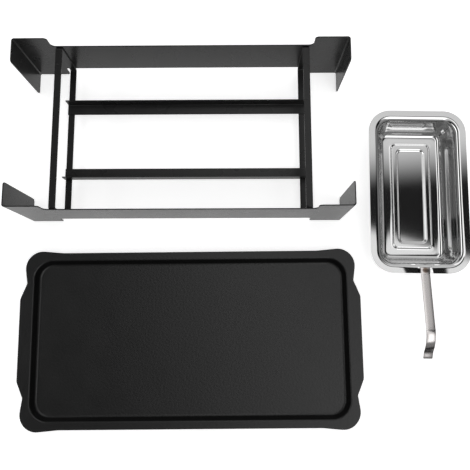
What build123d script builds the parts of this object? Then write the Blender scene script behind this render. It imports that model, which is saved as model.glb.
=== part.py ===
from build123d import *
import os
from math import atan, cos, degrees, radians, sin, sqrt, tan

# Portable charcoal grill, taken apart and laid out on a table: a folded sheet-steel stand,
# a coated griddle plate and a drawn steel charcoal tray with a flat strip handle.
# Millimetres, +Z up. Every group rests on z = 0.

# Stand: side plates with a post folded at each end
stand_length = 452.0        # over the two folded ends
stand_depth = 229.0         # over the two side plates
stand_sheet = 1.5
fold_radius = 2.0           # inside radius of each fold
post_height = 108.0         # from the table to the top of the corner posts
post_width = 46.5           # along the side plate
flap_width = 33.0           # folded-in end of each post
post_step_radius = 5.0      # rounded shoulder at the top of a post
post_valley_radius = 6.5    # where the shoulder runs into the side strip
post_foot_radius = 3.0
flap_corner_radius = 4.5
strip_bottom = 20.0         # from the table to the strip between the posts
strip_drop = 22.0           # from a post's top to the strip's top edge

# Stand: flat-bar frame at each end, closed like a hoop
bar_width = 9.0
bar_thickness = 2.0
bar_bend_radius = 2.0       # inside radius of a hoop's corners
hoop_inset = 52.0           # from the post's folded end to the hoop's near edge
hoop_top_drop = 0.5         # the hoop's top lies this far below the strip's top edge
hoop_foot_drop = 4.0        # the hoop's underside lies this far below the strip's bottom edge

# Stand: angle rails that carry and guide the tray
rail_sheet = 1.5
rail_shelf = 16.5           # flat part, towards the middle
rail_lip = 16.0             # upright part, outside
rail_fold_radius = 1.0
rail_overrun = 0.5          # past the outer edge of each hoop

# Charcoal tray, drawn from one sheet
tray_sheet = 0.8
tray_depth = 38.0
tray_floor_width = 80.0
tray_floor_length = 175.0
tray_floor_corner = 4.0
tray_draft = 20.0           # plan width of the sloping wall
tray_rim_width = 8.8
tray_rim_corner = 30.8
tray_rim_bend = 1.6         # rounding where the wall turns into the rim
tray_floor_bend = 2.0       # rounding where the floor turns into the wall
bead_width_inset = 10.4     # from the floor's long side to the bead
bead_end_inset = 7.8        # from the floor's short side to the bead
bead_band = 10.4            # over the raised band
bead_height = 1.8
bead_slope = 2.2            # plan width of each flank of the bead
bead_corner = 7.5
seat_width = 20.0           # pocket pressed in the rim, in which the handle's root lies
seat_depth = 0.6
seat_flank = 1.2            # plan width of each sloping side
seat_run = 8.2              # from the rim's outer edge inwards

# Tray handle, one strip welded in its seat on the rim
handle_width = 12.5
handle_sheet = 1.2
handle_offset = 5.0         # of the handle and its seat from the tray's centre line
handle_root_overlap = 8.0   # of the strip on the rim
handle_rise = 10.3          # degrees above level
handle_straight = 78.0
handle_bend_radius = 18.0
handle_fall = 44.0          # degrees below level, past the bend
handle_slope = 30.0
handle_tip_radius = 14.0
handle_tip_fall = 24.0      # degrees below level, at the tip
handle_tip = 8.0
handle_end_corner = 1.2

# Griddle plate
griddle_end_overhang = 14.3     # of the handles past the stand's folded ends
griddle_side_overhang = 7.3     # of the straight edges past the side plates
griddle_sheet = 3.0
griddle_recess = 10.5
griddle_draft = 4.8             # plan width of the recess's sloping wall
griddle_corner = 23.0           # of the pan's floor, outside
griddle_flange_break = 0.8      # chamfer on the flange's edges
griddle_lip_bend = 2.5
griddle_floor_bend = 4.0
griddle_grip_width = 114.0      # of the straight end edges
griddle_grip_radius = 9.0
griddle_notch_depth = 9.0       # between the grip and the corner lobe
griddle_notch_run = 22.0
griddle_notch_radius = 4.0
griddle_lobe_end = 2.1          # the lobe's corner lies this far inside the grip's edge
griddle_lobe_side = 5.3         # and this far outside the straight long edge
griddle_lobe_run = 57.0         # from that corner to where the long edge is straight
griddle_lobe_radius = 24.0
griddle_ease_radius = 60.0

# Fits between the groups, for when the grill is put together
rail_clearance = 1.0            # beside the tray's floor, on each side
griddle_side_clearance = 0.5    # around the pan's mouth, inside the side plates
griddle_end_clearance = 1.2     # around the pan's mouth, inside the folded ends

# Layout on the table
griddle_gap = 42.1              # from the stand's front plate to the griddle's lobes
griddle_shift = 7.7
griddle_turn = 0.4
tray_gap = 34.6                 # from the stand's right end to the tray's rim
tray_shift = -79.1
tray_turn = -1.1


# Stand

def plate_plan():
    # Seen from above, with the outer face on y = 0 and both ends folded towards -Y
    outside = Pos(0, -flap_width / 2) * Rectangle(stand_length, flap_width)
    outside = fillet(outside.vertices().sort_by(Axis.Y)[-2:], fold_radius + stand_sheet)
    inside = Pos(0, -stand_sheet - flap_width / 2) * Rectangle(stand_length - 2 * stand_sheet, flap_width)
    inside = fillet(inside.vertices().sort_by(Axis.Y)[-2:], fold_radius)
    return outside - inside


def strip_top():
    return post_height - strip_drop


def plate_front_view():
    # Seen from the front: two posts joined by the side strip
    half_gap = stand_length / 2 - post_width
    outline = Pos(0, post_height / 2) * Rectangle(stand_length, post_height)
    above = Pos(0, (strip_top() + post_height) / 2) * Rectangle(2 * half_gap, strip_drop)
    below = Pos(0, strip_bottom / 2) * Rectangle(2 * half_gap, strip_bottom)
    outline -= above
    outline -= below
    steps = outline.vertices().filter_by_position(Axis.X, -half_gap - 1, half_gap + 1)
    outline = fillet(steps.filter_by_position(Axis.Y, post_height - 1, post_height + 1), post_step_radius)
    steps = outline.vertices().filter_by_position(Axis.X, -half_gap - 1, half_gap + 1)
    outline = fillet(steps.filter_by_position(Axis.Y, strip_top() - 0.1, strip_top() + 0.1), post_valley_radius)
    steps = outline.vertices().filter_by_position(Axis.X, -half_gap - 1, half_gap + 1)
    return fillet(steps.filter_by_position(Axis.Y, -0.1, 0.1), post_foot_radius)


def plate_end_view():
    # Seen from the end: the flap with its two free corners rounded
    outline = Pos(-flap_width / 2, post_height / 2) * Rectangle(flap_width, post_height)
    return fillet(outline.vertices().sort_by(Axis.X)[:2], flap_corner_radius)


def side_plate():
    # The three views cut one folded sheet; its outer face ends on y = stand_depth / 2
    folded = extrude(plate_plan(), amount=post_height)
    front = extrude(Plane.XZ * plate_front_view(), amount=flap_width + 1, both=True)
    end = extrude(Plane.YZ * plate_end_view(), amount=stand_length, both=True)
    plate = folded & front & end
    return Pos(0, stand_depth / 2, 0) * plate


def hoop_bottom():
    return strip_bottom - hoop_foot_drop


def hoop_shelf():
    # Top face of a hoop's lower bar, on which the rails rest
    return hoop_bottom() + bar_thickness


def end_hoop(x_centre):
    # A flat bar bent into a closed rectangle, its uprights flat against the side plates
    top = strip_top() - hoop_top_drop
    height = top - hoop_bottom()
    width = stand_depth - 2 * stand_sheet
    outer = RectangleRounded(width, height, bar_bend_radius + bar_thickness)
    inner = RectangleRounded(width - 2 * bar_thickness, height - 2 * bar_thickness, bar_bend_radius)
    face = Plane.YZ * Pos(0, hoop_bottom() + height / 2) * (outer - inner)
    return Pos(x_centre, 0, 0) * extrude(face, amount=bar_width / 2, both=True)


def hoop_centre():
    return stand_length / 2 - hoop_inset - bar_width / 2


def rail_edge():
    # Distance of a rail's inner edge from the middle plane
    return tray_floor_width / 2 + rail_clearance


def tray_rail():
    # An angle along X; the shelf points to the middle and the lip stands on the outside
    reach = rail_edge() + rail_shelf
    corner = Polyline((rail_edge(), 0), (reach, 0), (reach, rail_lip), (reach - rail_sheet, rail_lip),
                      (reach - rail_sheet, rail_sheet), (rail_edge(), rail_sheet), close=True)
    section = make_face(corner)
    by_reach = section.vertices().sort_by(Axis.X)
    heel = by_reach[-2:].sort_by(Axis.Y)[0]
    section = fillet(heel, rail_fold_radius + rail_sheet)
    throat = section.vertices().filter_by_position(Axis.X, reach - rail_sheet - 0.1, reach - rail_sheet + 0.1)
    section = fillet(throat.sort_by(Axis.Y)[0], rail_fold_radius)
    half_length = hoop_centre() + bar_width / 2 + rail_overrun
    rail = extrude(Plane.YZ * section, amount=half_length, both=True)
    return Pos(0, 0, hoop_shelf()) * rail


def stand_pieces():
    plate = side_plate()
    rail = tray_rail()
    return {
        "back_side_plate": plate,
        "front_side_plate": mirror(plate, Plane.XZ),
        "left_end_hoop": end_hoop(-hoop_centre()),
        "right_end_hoop": end_hoop(hoop_centre()),
        "back_tray_rail": rail,
        "front_tray_rail": mirror(rail, Plane.XZ),
    }


# Charcoal tray, long axis on Y, centred on the origin

def drafted(width, length, corner, z, rise, lean):
    # A rounded block from height z up, its wall leaning outwards by lean sideways for each unit of rise
    plan = RectangleRounded(width, length, corner)
    return Pos(0, 0, z) * extrude(plan, amount=rise, taper=-degrees(atan(lean)))


def wall_inset(sheet, lean):
    # Plan thickness of a sloping wall of this sheet
    return sheet * sqrt(1 + lean * lean)


def tray_end():
    # Distance of the rim's outer edge from the tray's middle
    return tray_floor_length / 2 + tray_draft + tray_rim_width


def tray_side():
    return tray_floor_width / 2 + tray_draft + tray_rim_width


def tray_bowl():
    lean = tray_draft / tray_depth
    body = drafted(tray_floor_width, tray_floor_length, tray_floor_corner, 0, tray_depth, lean)
    spread = lean * tray_sheet - wall_inset(tray_sheet, lean)
    hollow = drafted(tray_floor_width + 2 * spread, tray_floor_length + 2 * spread, tray_floor_corner + spread,
                     tray_sheet, tray_depth - tray_sheet, lean)
    rim_plan = RectangleRounded(2 * tray_side(), 2 * tray_end(), tray_rim_corner)
    rim = Pos(0, 0, tray_depth - tray_sheet) * extrude(rim_plan, amount=tray_sheet)
    return body + rim - hollow


def inner_edges(face):
    # The edges round the hole in a face
    return face.inner_wires()[0].edges()


def round_tray_bends(bowl):
    rim_top = bowl.faces().sort_by(Axis.Z)[-1]
    bowl = fillet(inner_edges(rim_top), tray_rim_bend)
    floor = bowl.edges().filter_by_position(Axis.Z, tray_sheet - 0.01, tray_sheet + 0.01)
    bowl = fillet(floor, tray_floor_bend)
    foot = bowl.edges().filter_by_position(Axis.Z, -0.01, 0.01)
    return fillet(foot, tray_floor_bend + tray_sheet / 2)


def bead_outline(z, inset):
    width = tray_floor_width - 2 * bead_width_inset - 2 * inset
    length = tray_floor_length - 2 * bead_end_inset - 2 * inset
    return Pos(0, 0, z) * RectangleRounded(width, length, bead_corner)


def bead(z):
    # A raised band that runs round the floor, flanks sloping in on both sides
    hump = loft([bead_outline(z, 0), bead_outline(z + bead_height, bead_slope)], ruled=True)
    dip = loft([bead_outline(z, bead_band), bead_outline(z + bead_height, bead_band - bead_slope)], ruled=True)
    return hump - dip


def handle_seat(z, overrun):
    # The pocket's shape from level z down, open at the rim's outer edge
    half = seat_width / 2
    section = make_face(Polyline((-half, z), (half, z), (half - seat_flank, z - seat_depth),
                                 (seat_flank - half, z - seat_depth), close=True))
    pocket = extrude(Plane.XZ * section, amount=seat_run + overrun)
    return Pos(handle_offset, seat_run - tray_end(), 0) * pocket


def charcoal_tray():
    tray = round_tray_bends(tray_bowl())
    tray -= bead(0)
    tray += bead(tray_sheet)
    tray += handle_seat(tray_depth - tray_sheet, 0)
    tray -= handle_seat(tray_depth, tray_sheet)
    return tray


# Tray handle

def travel(start, length, fall):
    # A step of the handle's side view: outwards along -Y, dropping by an angle in degrees
    return (start[0] - length * cos(radians(fall)), start[1] - length * sin(radians(fall)))


def tray_handle():
    outer_edge = -tray_end()
    level = tray_depth - seat_depth + handle_sheet / 2
    root = (outer_edge + handle_root_overlap, level)
    edge = (outer_edge - handle_sheet, level)
    bend = travel(edge, handle_straight, -handle_rise)
    over = travel(bend, handle_bend_radius * tan(radians((handle_rise + handle_fall) / 2)), -handle_rise)
    under = travel(over, handle_slope, handle_fall)
    tip = travel(under, handle_tip, handle_tip_fall)
    line = FilletPolyline(root, edge, over, under, tip,
                          radius=[4 * handle_sheet, handle_bend_radius, handle_tip_radius])
    across = Plane(origin=(0, root[0], root[1]), x_dir=(1, 0, 0), z_dir=(0, -1, 0))
    strip = sweep(across * Rectangle(handle_width, handle_sheet), path=Plane.YZ * line)
    tip_face = strip.faces().sort_by(Axis.Y)[0]
    strip = fillet(tip_face.edges().sort_by(SortBy.LENGTH)[:2], handle_end_corner)
    return Pos(handle_offset, 0, 0) * strip


# Griddle plate, long axis on X, centred on the origin

def griddle_half_length():
    return stand_length / 2 + griddle_end_overhang


def griddle_half_width():
    return stand_depth / 2 + griddle_side_overhang


def griddle_quarter():
    # Outline in the +X +Y quarter: grip, notch, corner lobe and straight long edge
    end = griddle_half_length()
    side = griddle_half_width()
    grip = griddle_grip_width / 2
    lobe = (end - griddle_lobe_end, side + griddle_lobe_side)
    notch = (end - griddle_notch_depth, grip + griddle_notch_run)
    ease = (lobe[0] - griddle_lobe_run, side)
    line = FilletPolyline((end, 0), (end, grip), notch, lobe, ease, (0, side),
                          radius=[griddle_grip_radius, griddle_notch_radius, griddle_lobe_radius, griddle_ease_radius])
    closed = line + Polyline((0, side), (0, 0), (end, 0))
    return make_face(closed)


def griddle_outline():
    quarter = griddle_quarter()
    half = quarter + mirror(quarter, Plane.XZ)
    return half + mirror(half, Plane.YZ)


def pan_block(z, spread, lean):
    # The pan's floor outline, widened by spread, raised with the wall's lean
    widening = 2 * (spread - griddle_draft - stand_sheet)
    width = stand_depth - 2 * griddle_side_clearance + widening
    length = stand_length - 2 * griddle_end_clearance + widening
    return drafted(length, width, griddle_corner + spread, z, griddle_recess, lean)


def griddle_plate():
    lean = griddle_draft / griddle_recess
    flange = Pos(0, 0, griddle_recess) * extrude(griddle_outline(), amount=griddle_sheet)
    flange = chamfer(flange.edges().filter_by(Plane.XY), griddle_flange_break)
    pan = pan_block(0, 0, lean)
    pan = fillet(pan.edges().filter_by_position(Axis.Z, -0.01, 0.01), griddle_floor_bend)
    hollow = pan_block(griddle_sheet, lean * griddle_sheet - wall_inset(griddle_sheet, lean), lean)
    hollow = fillet(hollow.edges().filter_by_position(Axis.Z, griddle_sheet - 0.01, griddle_sheet + 0.01),
                    griddle_floor_bend)
    plate = flange + pan - hollow
    flange_top = plate.faces().sort_by(Axis.Z)[-1]
    return fillet(inner_edges(flange_top), griddle_lip_bend)


# Layout

def laid_out():
    pieces = stand_pieces()
    griddle_y = -(stand_depth / 2 + griddle_gap + griddle_half_width() + griddle_lobe_side)
    pieces["griddle_plate"] = Pos(griddle_shift, griddle_y, 0) * Rot(0, 0, griddle_turn) * griddle_plate()
    tray_place = Pos(stand_length / 2 + tray_gap + tray_side(), tray_shift, 0) * Rot(0, 0, tray_turn)
    pieces["charcoal_tray"] = tray_place * charcoal_tray()
    pieces["tray_handle"] = tray_place * tray_handle()
    return pieces


def centred(pieces):
    # The origin is the middle of the whole layout's footprint, on the table
    box = Compound(list(pieces.values())).bounding_box()
    shift = Pos(-box.center().X, -box.center().Y, -box.min.Z)
    print("moved by", -box.center().X, -box.center().Y, -box.min.Z)
    print("size", box.size)
    return {name: shift * piece for name, piece in pieces.items()}


os.makedirs("parts", exist_ok=True)
for name, piece in centred(laid_out()).items():
    export_step(piece, "parts/" + name + ".step")
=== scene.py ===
from math import atan2, cos, pi, radians, sin, sqrt, tan

import bmesh
import bpy
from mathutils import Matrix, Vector


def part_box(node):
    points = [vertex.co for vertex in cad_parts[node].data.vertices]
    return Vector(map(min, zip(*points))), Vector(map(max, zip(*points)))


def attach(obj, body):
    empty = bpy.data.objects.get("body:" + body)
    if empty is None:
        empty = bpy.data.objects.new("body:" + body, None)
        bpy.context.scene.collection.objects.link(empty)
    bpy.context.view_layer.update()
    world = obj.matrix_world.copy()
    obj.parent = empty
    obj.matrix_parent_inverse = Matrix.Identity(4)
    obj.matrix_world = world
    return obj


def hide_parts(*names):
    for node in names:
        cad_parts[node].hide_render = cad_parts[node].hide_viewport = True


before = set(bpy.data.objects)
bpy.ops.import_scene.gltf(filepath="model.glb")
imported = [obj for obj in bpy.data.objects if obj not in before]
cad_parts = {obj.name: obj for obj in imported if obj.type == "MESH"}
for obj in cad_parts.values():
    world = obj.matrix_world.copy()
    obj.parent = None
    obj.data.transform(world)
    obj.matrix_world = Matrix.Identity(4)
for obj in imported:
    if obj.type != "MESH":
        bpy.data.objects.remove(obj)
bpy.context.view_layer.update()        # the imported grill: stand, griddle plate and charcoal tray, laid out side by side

mm = 0.001
same = 0.001             # millimetres, within which two points are taken as one
closeBy = 0.02           # millimetres, within which a point is taken to lie on a level
almost = 0.99            # of a side's length, to tell sides apart from corner steps
smoothAngle = 40         # degrees, over which an edge is shaded sharp
scene = bpy.context.scene
scene.view_settings.view_transform = "Standard"


def boxCentre(node):
    low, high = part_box(node)
    return (low + high) / 2


# Where the three groups lie, read from the frame
standCentre = (boxCentre("front_side_plate") + boxCentre("back_side_plate")) / 2
standCentre.z = 0
trayCentre = boxCentre("charcoal_tray")
trayCentre.z = 0
trayTurn = radians(-1.1)


# Camera, from the upright edges' vanishing point in the photograph
cameraView = {
    "offset": Vector((75.9, -251.8, 791.3)) * mm,      # from the stand's middle on the table
    "tilt": (radians(8.333), radians(0.356), radians(-0.2035)),
    "lens": 42.02,
    "sensor": 36.0,
    "clipStart": 0.01,
}


def makeCamera():
    data = bpy.data.cameras.new("viewCamera")
    data.lens = cameraView["lens"]
    data.sensor_width = cameraView["sensor"]
    data.clip_start = cameraView["clipStart"]
    camera = bpy.data.objects.new("viewCamera", data)
    scene.collection.objects.link(camera)
    camera.location = standCentre + cameraView["offset"]
    camera.rotation_mode = "ZYX"
    camera.rotation_euler = cameraView["tilt"]
    scene.camera = camera
    print("camera placed")


# Material helpers

def linearColour(code):
    # "#rrggbb" in sRGB to the linear colour that a shader wants
    parts = [int(code[i:i + 2], 16) / 255 for i in (1, 3, 5)]
    return tuple(c / 12.92 if c <= 0.04045 else ((c + 0.055) / 1.055) ** 2.4 for c in parts) + (1.0,)


def addNode(tree, kind, settings=(), **links):
    # Settings are (name, value) pairs, for a node property or an input. Links go from an input's index or
    # name to an output.
    node = tree.nodes.new(kind)
    for name, value in settings:
        if hasattr(node, str(name)):
            setattr(node, name, value)
        else:
            node.inputs[name].default_value = value
    for name, source in links.items():
        key = int(name[2:]) if name.startswith("in") and name[2:].isdigit() else name.replace("_", " ")
        tree.links.new(node.inputs[key], source)
    return node


def addMath(tree, operation, first, second):
    return addNode(tree, "ShaderNodeMath", [("operation", operation)], in0=first, in1=second).outputs[0]


def addNoise(tree, size, detail, place):
    # Noise with features of this size
    return addNode(tree, "ShaderNodeTexNoise", [("Scale", 1 / size), ("Detail", detail)], Vector=place)


def addSpread(tree, span, source):
    # A value from 0 to 1, spread over this span
    low, high = span
    return addNode(tree, "ShaderNodeMapRange", [(3, low), (4, high)], in0=source.outputs[0]).outputs[0]


def addRamp(tree, value, low, high, start, end):
    # A soft step from start to end, made while the value goes from low to high
    settings = [("interpolation_type", "SMOOTHSTEP"), (1, low), (2, high), (3, start), (4, end)]
    return addNode(tree, "ShaderNodeMapRange", settings, in0=value).outputs[0]


def addBlend(tree, first, second, share):
    # From the first sRGB colour to the second
    settings = [("data_type", "RGBA"), (6, linearColour(first)), (7, linearColour(second))]
    return addNode(tree, "ShaderNodeMix", settings, in0=share).outputs[2]


def addBump(tree, strength, height, source):
    settings = [("Strength", strength), ("Distance", height)]
    return addNode(tree, "ShaderNodeBump", settings, Height=source.outputs[0]).outputs[0]


def newMaterial(name):
    material = bpy.data.materials.new(name)
    material.use_nodes = True
    material.node_tree.nodes.clear()
    return material, material.node_tree


def finishMaterial(tree, shader):
    addNode(tree, "ShaderNodeOutputMaterial", Surface=shader.outputs[0])


# Powder-coated mild steel: sprayed dry and baked, so it is satin black with a fine orange peel
powderCoat = {
    "dark": "#242424",
    "light": "#2c2c2c",
    "index": 1.33,               # of the thin matted resin
    "roughness": (0.24, 0.31),
    "peelSize": 1.1 * mm,
    "peelDetail": 1,
    "peelHeight": 0.01 * mm,
    "peelStrength": 0.6,
    "cloudSize": 60 * mm,
    "cloudDetail": 3,
    "edge": 0.25 * mm,           # the coat rounds every edge of the sheet
    "edgeSegments": 2,
    "edgeAngle": 50,             # degrees, over which an edge is rounded
}


def powderCoatMaterial():
    coat = powderCoat
    material, tree = newMaterial("powderCoatedSteel")
    place = addNode(tree, "ShaderNodeTexCoord").outputs["Object"]
    clouds = addNoise(tree, coat["cloudSize"], coat["cloudDetail"], place)
    colour = addBlend(tree, coat["dark"], coat["light"], clouds.outputs[0])
    rough = addSpread(tree, coat["roughness"], clouds)
    peel = addNoise(tree, coat["peelSize"], coat["peelDetail"], place)
    bump = addBump(tree, coat["peelStrength"], coat["peelHeight"], peel)
    shader = addNode(tree, "ShaderNodeBsdfPrincipled", [("IOR", coat["index"])],
                     Base_Color=colour, Roughness=rough, Normal=bump)
    finishMaterial(tree, shader)
    return material


# Cast aluminium with a sprayed non-stick coat: near black, matt, pebbled all over
nonStick = {
    "dark": "#060606",
    "light": "#0e0e0e",
    "roughness": (0.29, 0.38),
    "pebbleSize": 3.2 * mm,      # coarser than the real pebbling, so that it shows
    "pebbleDetail": 2,
    "pebbleHeight": 0.22 * mm,
    "pebbleStrength": 0.8,
    "cloudSize": 40 * mm,
    "cloudDetail": 4,
}


def nonStickMaterial():
    coat = nonStick
    material, tree = newMaterial("nonStickCastAluminium")
    place = addNode(tree, "ShaderNodeTexCoord").outputs["Object"]
    clouds = addNoise(tree, coat["cloudSize"], coat["cloudDetail"], place)
    colour = addBlend(tree, coat["dark"], coat["light"], clouds.outputs[0])
    rough = addSpread(tree, coat["roughness"], clouds)
    pebble = addNoise(tree, coat["pebbleSize"], coat["pebbleDetail"], place)
    bump = addBump(tree, coat["pebbleStrength"], coat["pebbleHeight"], pebble)
    shader = addNode(tree, "ShaderNodeBsdfPrincipled", Base_Color=colour, Roughness=rough, Normal=bump)
    finishMaterial(tree, shader)
    return material


# Deep-drawn stainless steel, mirror bright from the polished die
mirrorSteel = {
    "colour": "#d8d8d8",
    "roughness": (0.04, 0.06),
    "wallRoughness": 0.05,       # added where the sheet was stretched over the die's walls
    "wallFrom": (0.9, 0.5),      # upward parts of the normal between which it is added
    "smearSize": 14 * mm,
    "smearDetail": 3,
}


def mirrorSteelMaterial():
    steel = mirrorSteel
    material, tree = newMaterial("drawnMirrorStainless")
    place = addNode(tree, "ShaderNodeTexCoord").outputs["Object"]
    smear = addNoise(tree, steel["smearSize"], steel["smearDetail"], place)
    rough = addSpread(tree, steel["roughness"], smear)
    normal = addNode(tree, "ShaderNodeNewGeometry").outputs["Normal"]
    facing = addNode(tree, "ShaderNodeSeparateXYZ", Vector=normal)
    upright = addRamp(tree, facing.outputs[2], *steel["wallFrom"], 0.0, steel["wallRoughness"])
    rough = addMath(tree, "ADD", rough, upright)
    shader = addNode(tree, "ShaderNodeBsdfPrincipled",
                     [("Base Color", linearColour(steel["colour"])), ("Metallic", 1.0)], Roughness=rough)
    finishMaterial(tree, shader)
    return material


# Brushed stainless strip: satin, with fine lines along its length
brushedSteel = {
    "colour": "#cac6c5",
    "weldTint": "#7d6451",       # straw to brown, from the spot weld's heat
    "weldPlace": (5.0, -112.0, 0.0),     # from the tray's middle, in millimetres
    "weldReach": (2.2, 5.4),     # the tint fades out between these distances, in millimetres
    "weldStrength": 0.8,
    "roughness": (0.15, 0.21),
    "lineWidth": 0.5 * mm,
    "lineLength": 30 * mm,
    "lineDetail": 2,
    "lineHeight": 0.01 * mm,
    "lineStrength": 0.3,
}


def brushedSteelMaterial():
    steel = brushedSteel
    material, tree = newMaterial("brushedStainlessStrip")
    place = addNode(tree, "ShaderNodeTexCoord").outputs["Object"]
    scale = (1 / steel["lineWidth"], 1 / steel["lineLength"], 1 / steel["lineLength"])
    stretch = addNode(tree, "ShaderNodeMapping", [("Location", -trayCentre), ("Scale", scale)], Vector=place)
    lines = addNoise(tree, 1.0, steel["lineDetail"], stretch.outputs[0])
    rough = addSpread(tree, steel["roughness"], lines)
    bump = addBump(tree, steel["lineStrength"], steel["lineHeight"], lines)
    # The spot weld: a heat-tinted patch round its middle, in the tray's own axes
    settings = [("vector_type", "TEXTURE"), ("Location", trayCentre), ("Rotation", (0, 0, trayTurn))]
    centred = addNode(tree, "ShaderNodeMapping", settings, Vector=place)
    weld = Vector(steel["weldPlace"]) * mm
    fromWeld = addNode(tree, "ShaderNodeVectorMath", [("operation", "SUBTRACT"), (1, weld)],
                       in0=centred.outputs[0])
    onTop = addNode(tree, "ShaderNodeVectorMath", [("operation", "MULTIPLY"), (1, (1, 1, 0))],
                    in0=fromWeld.outputs[0])
    away = addNode(tree, "ShaderNodeVectorMath", [("operation", "LENGTH")], Vector=onTop.outputs[0])
    near, out = steel["weldReach"]
    tint = addRamp(tree, away.outputs["Value"], near * mm, out * mm, steel["weldStrength"], 0.0)
    colour = addBlend(tree, steel["colour"], steel["weldTint"], tint)
    shader = addNode(tree, "ShaderNodeBsdfPrincipled", [("Metallic", 1.0)],
                     Base_Color=colour, Roughness=rough, Normal=bump)
    finishMaterial(tree, shader)
    return material


# Modelling helpers

def deselectAll():
    if bpy.context.object and bpy.context.object.mode == "EDIT":
        bpy.ops.object.mode_set(mode="OBJECT")
    bpy.ops.object.select_all(action="DESELECT")


def selectOnly(piece):
    deselectAll()
    piece.select_set(True)
    bpy.context.view_layer.objects.active = piece


def startPlate(name, width, length):
    # A flat plate on XY, left in edit mode
    deselectAll()
    bpy.ops.mesh.primitive_plane_add(size=1, location=(0, 0, 0))
    piece = bpy.context.object
    piece.name = name
    piece.data.name = name
    bpy.ops.object.mode_set(mode="EDIT")
    bpy.ops.transform.resize(value=(width, length, 1), center_override=(0, 0, 0))
    return piece


def pick(piece, kind, test):
    # Selects only the faces, edges or verts whose middle passes the test; returns how many
    mesh = bmesh.from_edit_mesh(piece.data)
    bpy.ops.mesh.select_mode(type={"faces": "FACE", "edges": "EDGE", "verts": "VERT"}[kind])
    bpy.ops.mesh.select_all(action="DESELECT")
    found = 0
    for part in getattr(mesh, kind):
        points = [part.co] if kind == "verts" else [v.co for v in part.verts]
        middle = sum(points, Vector()) / len(points)
        if test(middle, part):
            part.select_set(True)
            found += 1
    mesh.select_flush_mode()
    bmesh.update_edit_mesh(piece.data)
    return found


def applyModifiers(piece):
    selectOnly(piece)
    for modifier in list(piece.modifiers):
        bpy.ops.object.modifier_apply(modifier=modifier.name)


def placePiece(piece, location, turn):
    # Turns the piece about Z and moves it, then puts both into its mesh
    selectOnly(piece)
    piece.location = location
    piece.rotation_euler = (0, 0, turn)
    bpy.ops.object.transform_apply(location=True, rotation=True, scale=True)


def smoothPiece(piece):
    selectOnly(piece)
    bpy.ops.object.shade_smooth_by_angle(angle=radians(smoothAngle))


def softenEdges(piece):
    # Rounds the edges of a piece from the frame; its own mesh stays as it is
    weld = piece.modifiers.new("merged", "WELD")
    weld.merge_threshold = same * mm
    bevel = piece.modifiers.new("edges", "BEVEL")
    bevel.width = powderCoat["edge"]
    bevel.segments = powderCoat["edgeSegments"]
    bevel.limit_method = "ANGLE"
    bevel.angle_limit = radians(powderCoat["edgeAngle"])
    bevel.harden_normals = False


# Charcoal tray, drawn from one sheet; sizes in millimetres

trayForm = {
    "rimWidth": 137.6, "rimLength": 232.6, "rimCorner": 30.8,
    "rimFlat": 7.8,                                # from the rim's edge to where it bends down
    "rimRings": (0.1, 0.5, 0.9),                   # shares of that, where the flat rim has rings
    "floorWidth": 75.6, "floorLength": 176.0,      # of the floor's flat
    "height": 38.0, "sheet": 0.8,
    "cornerSegments": 22, "longCuts": 26, "shortCuts": 13,
    "cornerShare": 0.68,                           # of each step inwards that keeps the corners parallel
    "wallRings": 30, "rimBend": 9.0, "floorBend": 7.5, "bendRings": 14,
    "drawLine": 0.04, "drawLines": 3,              # faint waves left in the wall by the drawing
    "seatOffset": 5.0, "seatWidth": 20.0, "seatDepth": 0.6, "seatFlank": 1.2, "seatRun": 8.2,
    "seatAround": 4.0, "seatReach": 3,             # what is cut for it: so far in, and half widths aside
    "tip": 4.2,                                    # degrees by which the rim beside the seat tips
    "tipReach": 30.0, "tipDepth": 1.5,             # how wide that goes, and how deep
    "tipAround": 8.0,                              # and how far in from the seat
    "bandWidth": 59.0, "bandLength": 159.2, "bandCorner": 9.0,
    "panelWidth": 43.4, "panelLength": 143.0, "panelCorner": 8.5,
    "bandHeight": 1.8, "outerFlank": 4.0, "innerFlank": 4.2, "flankRings": 8,
    "narrowRing": 0.6,                             # both sides together
    "panelShares": (0.9, 0.96),                    # of the panel's width and length, for its last ring
    "floorCuts": 2, "bandCuts": 1,
}


def roundedLoopFace(piece, width, length, corner, height):
    # A rounded rectangle as one upward face, added to the piece and left selected; every one has as many
    # points, so that two of them bridge into clean quads
    form = trayForm
    if piece is None:
        piece = startPlate("charcoalTrayShell", width * mm, length * mm)
        bpy.ops.mesh.select_mode(type="VERT")
    else:
        bpy.ops.mesh.select_mode(type="VERT")
        bpy.ops.mesh.primitive_plane_add(size=1, location=(0, 0, 0))
        bpy.ops.transform.resize(value=(width * mm, length * mm, 1), center_override=(0, 0, 0))
    bpy.ops.transform.translate(value=(0, 0, height * mm))
    bpy.ops.mesh.bevel(offset=corner * mm, segments=form["cornerSegments"], affect="VERTICES")
    bpy.ops.mesh.delete(type="ONLY_FACE")
    longSide = (length - 2 * corner) * mm * almost
    shortSide = (width - 2 * corner) * mm * almost
    pick(piece, "edges", lambda m, e: e.is_wire and e.calc_length() > longSide)
    bpy.ops.mesh.subdivide(number_cuts=form["longCuts"])
    pick(piece, "edges", lambda m, e: e.is_wire and shortSide < e.calc_length() < longSide)
    bpy.ops.mesh.subdivide(number_cuts=form["shortCuts"])
    pick(piece, "edges", lambda m, e: e.is_wire)
    bpy.ops.mesh.edge_face_add()
    bpy.ops.mesh.select_mode(type="FACE")
    mesh = bmesh.from_edit_mesh(piece.data)
    if [f for f in mesh.faces if f.select][0].normal.z < 0:
        bpy.ops.mesh.flip_normals()
    return piece


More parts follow.
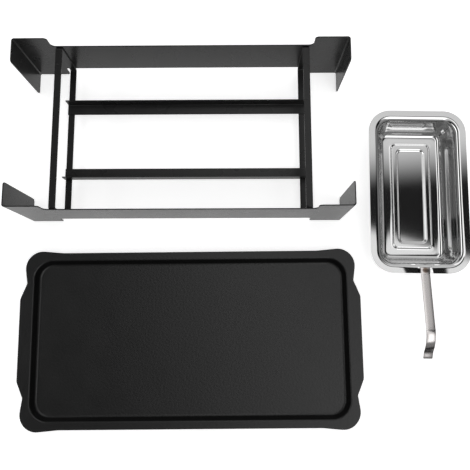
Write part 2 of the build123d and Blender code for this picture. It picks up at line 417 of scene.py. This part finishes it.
def stepIn(size, width, length, drop, cornerShare):
    # Adds a ring inside the selected face. The share of the step made by inset keeps the corners parallel,
    # the rest is made by scaling, which keeps them wide.
    step = (size["width"] - width) / 2
    thickness = max(step * cornerShare, same)
    bpy.ops.mesh.inset(thickness=thickness * mm, depth=-drop * mm)
    nowWidth = size["width"] - 2 * thickness
    nowLength = size["length"] - 2 * thickness
    bpy.ops.transform.resize(value=(width / nowWidth, length / nowLength, 1), center_override=(0, 0, 0))
    size["width"] = width
    size["length"] = length


def stepFlat(size):
    # A narrow level ring beside a flank
    narrower = trayForm["narrowRing"]
    stepIn(size, size["width"] - narrower, size["length"] - narrower, 0, 1.0)


def trayWallProfile():
    # (way in, height) from the rim's flat to the floor's flat: a bend, a straight wall that both bends
    # run into, and a bend
    form = trayForm
    across = (form["rimWidth"] - form["floorWidth"]) / 2 - form["rimFlat"]
    rise = form["height"] - form["sheet"]
    spare = rise - 2 * (form["rimBend"] + form["floorBend"])
    lean = 2 * atan2(sqrt(across * across + spare * rise) - across, spare)
    points = []
    for i in range(form["bendRings"] + 1):
        angle = lean * i / form["bendRings"]
        points.append((form["rimBend"] * sin(angle), form["height"] - form["rimBend"] * (1 - cos(angle))))
    top = points[-1]
    foot = (across - form["floorBend"] * sin(lean), form["sheet"] + form["floorBend"] * (1 - cos(lean)))
    for i in range(1, form["wallRings"]):
        along = i / form["wallRings"]
        wave = form["drawLine"] * sin(2 * pi * form["drawLines"] * along) * sin(pi * along)
        points.append((top[0] + (foot[0] - top[0]) * along + wave * sin(lean),
                       top[1] + (foot[1] - top[1]) * along + wave * cos(lean)))
    for i in range(form["bendRings"], -1, -1):
        angle = lean * i / form["bendRings"]
        points.append((across - form["floorBend"] * sin(angle),
                       form["sheet"] + form["floorBend"] * (1 - cos(angle))))
    return points


def trayFlank(size, rise, run):
    # A soft S up or down over this run
    rings = trayForm["flankRings"]
    before = 0
    for i in range(1, rings + 1):
        lift = rise * (1 - cos(pi * i / rings)) / 2
        narrower = 2 * run / rings
        stepIn(size, size["width"] - narrower, size["length"] - narrower, before - lift, 1.0)
        before = lift


def openFace():
    # Takes the selected face away and leaves its edge loop for bridging
    bpy.ops.mesh.delete(type="ONLY_FACE")


def bridgeLevel(piece, level, cuts):
    # Bridges the two open loops that lie at this height
    def onLevel(m, e):
        return e.is_boundary and all(abs(v.co.z - level * mm) < same * mm for v in e.verts)

    found = pick(piece, "edges", onLevel)
    bpy.ops.mesh.bridge_edge_loops(number_cuts=cuts, interpolation="LINEAR")
    print("bridged at", level, "edges:", found)


def pressSeat(piece):
    # The pocket in the rim under the handle's root
    form = trayForm
    middle = form["seatOffset"] * mm
    half = form["seatWidth"] / 2 * mm
    floorHalf = half - form["seatFlank"] * mm
    edge = -form["rimLength"] / 2 * mm
    inner = edge + form["seatRun"] * mm
    top = form["height"] * mm
    cutTo = inner + form["seatAround"] * mm
    tipTo = inner + form["tipAround"] * mm

    def onRim(m, f):
        return m.z > top - closeBy * mm and m.y < cutTo and abs(m.x - middle) < form["seatReach"] * half

    def inPocket(m, v):
        inside = m.y < inner + same * mm and abs(m.x - middle) < floorHalf + same * mm
        return inside and m.z > top - same * mm

    def keptStill(m, f):
        return m.z < top - form["tipDepth"] * mm or m.y > tipTo or abs(m.x - middle) < half

    def besidePocket(m, v):
        return not v.hide and m.y < inner + same * mm and abs(abs(m.x - middle) - half) < same * mm

    for x in (middle - half, middle - floorHalf, middle + floorHalf, middle + half):
        pick(piece, "faces", onRim)
        bpy.ops.mesh.bisect(plane_co=(x, 0, 0), plane_no=(1, 0, 0))
    pick(piece, "faces", lambda m, f: onRim(m, f) and abs(m.x - middle) < half)
    bpy.ops.mesh.bisect(plane_co=(0, inner, 0), plane_no=(0, 1, 0))
    found = pick(piece, "verts", inPocket)
    bpy.ops.transform.translate(value=(0, 0, -form["seatDepth"] * mm))
    # The press also tips the rim beside the pocket round its outer edge, less and less further out.
    # The pocket and all that isn't rim are hidden meanwhile.
    pick(piece, "faces", keptStill)
    bpy.ops.mesh.hide(unselected=False)
    pick(piece, "verts", besidePocket)
    bpy.ops.transform.rotate(value=radians(form["tip"]), orient_axis="X", center_override=(0, edge, top),
                             use_proportional_edit=True, proportional_edit_falloff="SMOOTH",
                             proportional_size=form["tipReach"] * mm)
    bpy.ops.mesh.reveal(select=False)
    print("seat pressed, points:", found)


def makeTray():
    form = trayForm
    piece = roundedLoopFace(None, form["rimWidth"], form["rimLength"], form["rimCorner"], form["height"])
    size = {"width": form["rimWidth"], "length": form["rimLength"]}
    height = form["height"]
    mouthWidth = form["rimWidth"] - 2 * form["rimFlat"]
    mouthLength = form["rimLength"] - 2 * form["rimFlat"]
    stepLength = (mouthLength - form["floorLength"]) / (mouthWidth - form["floorWidth"])
    for share in form["rimRings"]:          # the flat rim
        inset = share * form["rimFlat"]
        stepIn(size, form["rimWidth"] - 2 * inset, form["rimLength"] - 2 * inset, 0, 1.0)
    for inset, level in trayWallProfile():  # bend, wall and bend
        stepIn(size, mouthWidth - 2 * inset, mouthLength - 2 * inset * stepLength,
               height - level, form["cornerShare"])
        height = level
    openFace()
    roundedLoopFace(piece, form["bandWidth"], form["bandLength"], form["bandCorner"], form["sheet"])
    size = {"width": form["bandWidth"], "length": form["bandLength"]}
    trayFlank(size, form["bandHeight"], form["outerFlank"])      # up to the raised band
    stepFlat(size)
    openFace()
    bridgeLevel(piece, form["sheet"], form["floorCuts"])
    roundedLoopFace(piece, form["panelWidth"], form["panelLength"], form["panelCorner"],
                    form["sheet"] + form["bandHeight"])
    size = {"width": form["panelWidth"], "length": form["panelLength"]}
    stepFlat(size)
    trayFlank(size, -form["bandHeight"], form["innerFlank"])     # and down to the inner panel
    stepFlat(size)
    widthShare, lengthShare = form["panelShares"]
    stepIn(size, size["width"] * widthShare, size["length"] * lengthShare, 0, 0.0)
    bridgeLevel(piece, form["sheet"] + form["bandHeight"], form["bandCuts"])
    pressSeat(piece)
    bpy.ops.mesh.select_all(action="SELECT")
    bpy.ops.mesh.normals_make_consistent(inside=False)
    mesh = bmesh.from_edit_mesh(piece.data)
    if max(mesh.faces, key=lambda f: f.calc_area()).normal.z < 0:       # the inner panel, which faces up
        bpy.ops.mesh.flip_normals()
    bpy.ops.object.mode_set(mode="OBJECT")
    solidify = piece.modifiers.new("sheet", "SOLIDIFY")
    solidify.thickness = form["sheet"] * mm
    solidify.offset = -1
    applyModifiers(piece)
    smoothPiece(piece)
    placePiece(piece, trayCentre, trayTurn)
    print("tray modelled, faces:", len(piece.data.polygons))
    return piece


# Tray handle, one bent strip; sizes in millimetres

handleForm = {
    "width": 12.5, "sheet": 1.2, "offset": 5.0,
    "rootOverlap": 8.0, "rise": 10.3, "rootBend": 4.8, "rootSteps": 4,
    "straight": 75.2, "straightCuts": 10,
    "bend": 30.0, "bendSteps": 16, "fall": 44.0,
    "slope": 21.8, "slopeCuts": 3,
    "tipBend": 9.0, "tipSteps": 6, "tipFall": 21.5,
    "tip": 9.2, "tipCuts": 2,
    "edge": 0.3, "edgeSegments": 3, "edgeAngle": 60,
}


def makeHandle():
    form = handleForm
    edgeY = -trayForm["rimLength"] / 2
    level = trayForm["height"] - trayForm["seatDepth"] + form["sheet"] / 2
    piece = startPlate("trayHandleStrip", form["width"] * mm, form["rootOverlap"] * mm)
    bpy.ops.mesh.select_all(action="SELECT")
    middleY = edgeY + form["rootOverlap"] / 2
    bpy.ops.transform.translate(value=(form["offset"] * mm, middleY * mm, level * mm))

    end = {"y": edgeY, "z": level, "angle": 0.0}     # the free end, and its climb in degrees

    def atEnd(m, e):
        return abs(m.y - end["y"] * mm) < closeBy * mm and abs(m.z - end["z"] * mm) < closeBy * mm

    def extrudeEnd(length, heading):
        pick(piece, "edges", atEnd)
        dy = -cos(heading) * length
        dz = sin(heading) * length
        bpy.ops.mesh.extrude_region_move(TRANSFORM_OT_translate={"value": (0, dy * mm, dz * mm)})
        end["y"] += dy
        end["z"] += dz

    def runOn(length, cuts):
        for _ in range(cuts):
            extrudeEnd(length / cuts, radians(end["angle"]))

    def bendTo(angle, radius, steps):
        turn = angle - end["angle"]
        for _ in range(steps):
            half = radians(turn / steps / 2)
            extrudeEnd(2 * radius * sin(abs(half)), radians(end["angle"]) + half)
            end["angle"] += turn / steps

    rootTangent = form["rootBend"] * tan(radians(form["rise"] / 2))
    bendTangent = form["bend"] * tan(radians((form["rise"] + form["fall"]) / 2))
    tipTangent = form["tipBend"] * tan(radians((form["fall"] - form["tipFall"]) / 2))
    runOn(form["sheet"] - rootTangent, 1)
    bendTo(form["rise"], form["rootBend"], form["rootSteps"])
    runOn(form["straight"] - rootTangent, form["straightCuts"])
    bendTo(-form["fall"], form["bend"], form["bendSteps"])
    runOn(form["slope"] - bendTangent - tipTangent, form["slopeCuts"])
    bendTo(-form["tipFall"], form["tipBend"], form["tipSteps"])
    runOn(form["tip"] - tipTangent, form["tipCuts"])
    print("handle tip at", round(end["y"], 1), round(end["z"], 1))
    bpy.ops.mesh.select_all(action="SELECT")
    bpy.ops.mesh.normals_make_consistent(inside=False)
    bpy.ops.object.mode_set(mode="OBJECT")
    solidify = piece.modifiers.new("sheet", "SOLIDIFY")
    solidify.thickness = form["sheet"] * mm
    solidify.offset = 0
    solidify.use_even_offset = True
    bevel = piece.modifiers.new("edges", "BEVEL")
    bevel.width = form["edge"] * mm
    bevel.segments = form["edgeSegments"]
    bevel.limit_method = "ANGLE"
    bevel.angle_limit = radians(form["edgeAngle"])
    applyModifiers(piece)
    smoothPiece(piece)
    placePiece(piece, trayCentre, trayTurn)
    return piece


# Stage: a pale table and a studio sky

stageForm = {
    "floorColour": "#ececec",
    "floorLift": 0.7,           # added in view, so that the table is white with a faint shadow
    "mirroredLift": 0.5,        # and in reflections
    "floorHalf": 6.0,
    "edge": (0.5, 0.65),        # from the middle, where the mirrored table ends
    "beyond": "#585858",
}


def makeFloor():
    deselectAll()
    bpy.ops.mesh.primitive_plane_add(size=2 * stageForm["floorHalf"], location=(0, 0, 0))
    floor = bpy.context.object
    floor.name = "tableTop"
    material, tree = newMaterial("whiteTable")
    diffuse = addNode(tree, "ShaderNodeBsdfDiffuse", [("Color", linearColour(stageForm["floorColour"]))])
    path = addNode(tree, "ShaderNodeLightPath")
    mirrored = addNode(tree, "ShaderNodeMath", [("operation", "MULTIPLY"), (1, stageForm["mirroredLift"])],
                       in0=path.outputs["Is Glossy Ray"])
    lift = addNode(tree, "ShaderNodeMath", [("operation", "MULTIPLY_ADD"), (1, stageForm["floorLift"])],
                   in0=path.outputs["Is Camera Ray"], in2=mirrored.outputs[0])
    glow = addNode(tree, "ShaderNodeEmission", Strength=lift.outputs[0])
    both = addNode(tree, "ShaderNodeAddShader", in0=diffuse.outputs[0], in1=glow.outputs[0])
    # What the steel mirrors ends at the table's edge; in view the table goes on
    place = addNode(tree, "ShaderNodeTexCoord").outputs["Object"]
    reach = addNode(tree, "ShaderNodeVectorMath", [("operation", "LENGTH")], Vector=place)
    beyond = addNode(tree, "ShaderNodeMapRange", [(1, stageForm["edge"][0]), (2, stageForm["edge"][1])],
                     in0=reach.outputs["Value"])
    gone = addMath(tree, "MULTIPLY", beyond.outputs[0], path.outputs["Is Glossy Ray"])
    dark = addNode(tree, "ShaderNodeBsdfDiffuse", [("Color", linearColour(stageForm["beyond"]))])
    table = addNode(tree, "ShaderNodeMixShader", in0=gone, in1=both.outputs[0], in2=dark.outputs[0])
    finishMaterial(tree, table)
    floor.data.materials.append(material)


# Places in the sky are tangents from the zenith, or parts of the direction where a note says so.
# Heights are always the direction's upward part.
skyForm = {
    "colour": (0.8, 0.8, 0.8, 1.0),
    "inView": 1.25,             # strength seen by the camera, which makes the background white
    "lowest": 0.05,             # height under which the tangents no longer grow
    "dim": 0.01,                # overhead on the left, where the room is dark
    "bright": 1.3,              # the soft light overhead on the right
    "edge": (-0.34, 0.12),      # between which dim turns to bright
    "farY": (0.34, 0.46),       # where the light drops a second time, further out
    "far": 0.82,                # share of the light left beyond the dark bar
    "farther": 0.85,            # and of that further out
    "left": 0.3,                # low on the left, and so on round the room
    "right": 0.3,
    "aroundX": (-0.5, 0.6),     # of the direction
    "front": 2.4,
    "frontX": (0.02, 0.2),      # of the direction: the front light stands on the right
    "frontY": (-0.75, -0.3),    # of the direction
    "frontFoot": (0.66, 0.76),  # height between which it starts
    "frontFootShare": 0.14,     # share of it left under that
    "back": 0.8,
    "backY": (0.3, 0.8),        # of the direction
    "horizon": (0.1, 0.3),      # height between which the low light starts
    "horizonShare": 0.03,
    "sidesFrom": (0.9, 1.7),    # from the overhead light to the low light
    "window": 2.6,              # a window halfway up on the left
    "windowX": (-0.72, -0.56),
    "windowFoot": (0.64, 0.74),
    "rightEnd": (0.43, 0.55),   # of the direction, where the overhead light ends on the right
    "rightDim": 0.2,            # share of it left beyond
    "trayX": (0.14, 0.22),      # between the light over griddle and stand and the light over the tray
    "frontShareY": (-0.2, 0.0),
    "frontShare": 2.0,          # how much stronger it is towards the front, over the tray
    "frontEnd": (-1.15, -0.95),
    "frontEndShare": 0.2,
    "leftY": (-0.25, 0.35),
    "leftShares": (0.65, 1.9),  # over the griddle and the stand, from the front to the back
    "bandY": (0.154, 0.276),    # a dark bar across the light
    "bandSlant": -0.30,         # of its front edge
    "bandBackSlant": 0.08,      # and of its back edge
    "bandPivot": 0.249,         # the place across where both edges keep their place along
    "bandDepth": 0.985,
    "bandSoft": (0.012, 0.05),
    "bandX": (0.12, 1.3),
    "bandEndSoft": (0.02, 0.1),
}


def makeSky():
    sky = skyForm
    world = bpy.data.worlds.new("studioSky")
    scene.world = world
    world.use_nodes = True
    tree = world.node_tree
    tree.nodes.clear()
    direction = addNode(tree, "ShaderNodeTexCoord").outputs["Generated"]
    split = addNode(tree, "ShaderNodeSeparateXYZ", Vector=direction)
    toRight, toBack, height = split.outputs
    settings = [("operation", "MAXIMUM"), (1, sky["lowest"])]
    up = addNode(tree, "ShaderNodeMath", settings, in0=height).outputs[0]
    across = addMath(tree, "DIVIDE", toRight, up)
    along = addMath(tree, "DIVIDE", toBack, up)

    def ramp(value, low, high, start, end):
        return addRamp(tree, value, low, high, start, end)

    def times(first, second):
        return addMath(tree, "MULTIPLY", first, second)

    def slanted(slope):
        # The way along, turned so that a slanting edge becomes straight
        settings = [("operation", "MULTIPLY_ADD"), (1, -slope), (2, slope * sky["bandPivot"])]
        slant = addNode(tree, "ShaderNodeMath", settings, in0=across)
        return addMath(tree, "ADD", along, slant.outputs[0])

    # The light overhead, and its share over the two dark groups and over the tray
    overhead = times(ramp(across, *sky["edge"], sky["dim"], sky["bright"]),
                     ramp(toRight, *sky["rightEnd"], 1, sky["rightDim"]))
    overTray = ramp(across, *sky["trayX"], 0, 1)
    leftShare = ramp(along, *sky["leftY"], *sky["leftShares"])
    trayShare = times(ramp(along, *sky["frontShareY"], sky["frontShare"], 1),
                      ramp(along, *sky["frontEnd"], sky["frontEndShare"], 1))
    share = addNode(tree, "ShaderNodeMix", [("data_type", "FLOAT")],
                    in0=overTray, in2=leftShare, in3=trayShare)
    overhead = times(overhead, share.outputs[0])

    # The dark bar across it
    low, high = sky["bandY"]
    softLow, softHigh = sky["bandSoft"]
    inBand = times(ramp(slanted(sky["bandSlant"]), low - softLow, low + softLow, 0, 1),
                   ramp(slanted(sky["bandBackSlant"]), high - softHigh, high + softHigh, 1, 0))
    left, right = sky["bandX"]
    softLeft, softRight = sky["bandEndSoft"]
    inBand = times(inBand, times(ramp(across, left - softLeft, left + softLeft, 0, 1),
                                 ramp(across, right - softRight, right + softRight, 1, 0)))
    settings = [("operation", "MULTIPLY_ADD"), (1, -sky["bandDepth"]), (2, 1.0)]
    clear = addNode(tree, "ShaderNodeMath", settings, in0=inBand).outputs[0]
    beyondBand = ramp(along, high - softHigh, high + softHigh, 1, sky["far"])
    overhead = times(times(overhead, clear), beyondBand)
    overhead = times(overhead, ramp(along, *sky["farY"], 1, sky["farther"]))

    # The low light round the room
    fromZenith = addNode(tree, "ShaderNodeCombineXYZ", in0=across, in1=along)
    flat = addNode(tree, "ShaderNodeVectorMath", [("operation", "LENGTH")], Vector=fromZenith.outputs[0])
    side = ramp(flat.outputs["Value"], *sky["sidesFrom"], 0, 1)
    around = ramp(toRight, *sky["aroundX"], sky["left"], sky["right"])
    ahead = times(ramp(toBack, *sky["frontY"], sky["front"], 0),
                  ramp(toRight, *sky["frontX"], 0, 1))
    ahead = times(ahead, ramp(height, *sky["frontFoot"], sky["frontFootShare"], 1))
    behind = ramp(toBack, *sky["backY"], 0, sky["back"])
    lowSky = addMath(tree, "MAXIMUM", addMath(tree, "MAXIMUM", around, ahead), behind)
    lowSky = times(lowSky, ramp(height, *sky["horizon"], sky["horizonShare"], 1))
    strength = addNode(tree, "ShaderNodeMix", [("data_type", "FLOAT")], in0=side, in2=overhead, in3=lowSky)
    window = times(ramp(across, *sky["windowX"], sky["window"], 0),
                   ramp(height, *sky["windowFoot"], 0, 1))
    strength = addMath(tree, "MAXIMUM", strength.outputs[0], window)

    path = addNode(tree, "ShaderNodeLightPath")
    seen = addNode(tree, "ShaderNodeMix", [("data_type", "FLOAT"), (3, sky["inView"])],
                   in0=path.outputs["Is Camera Ray"], in2=strength)
    background = addNode(tree, "ShaderNodeBackground", [("Color", sky["colour"])], Strength=seen.outputs[0])
    addNode(tree, "ShaderNodeOutputWorld", Surface=background.outputs[0])


lampForm = {
    "size": (1.4, 1.0),
    "energy": 6.0,
    "place": (2.4, 1.6, 1.3),
}


def makeLamp():
    # One large soft light from the right and the back
    data = bpy.data.lights.new("softLight", "AREA")
    data.shape = "RECTANGLE"
    data.size, data.size_y = lampForm["size"]
    data.energy = lampForm["energy"]
    lamp = bpy.data.objects.new("softLight", data)
    scene.collection.objects.link(lamp)
    lamp.location = lampForm["place"]
    lamp.rotation_euler = (-lamp.location).to_track_quat("-Z", "Y").to_euler()
    lamp.visible_glossy = False          # what the steel mirrors is the sky alone


# Put together

makeCamera()
makeFloor()
makeSky()
makeLamp()

coat = powderCoatMaterial()
standNodes = (
    "back_side_plate", "front_side_plate",
    "left_end_hoop", "right_end_hoop",
    "back_tray_rail", "front_tray_rail",
)
for node in standNodes:
    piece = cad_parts[node]
    piece.material_slots[0].material = coat
    softenEdges(piece)
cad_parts["griddle_plate"].material_slots[0].material = nonStickMaterial()

tray = makeTray()
tray.data.materials.append(mirrorSteelMaterial())
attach(tray, "tray")
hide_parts("charcoal_tray")

handle = makeHandle()
handle.data.materials.append(brushedSteelMaterial())
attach(handle, "tray")
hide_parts("tray_handle")

print("all pieces made")
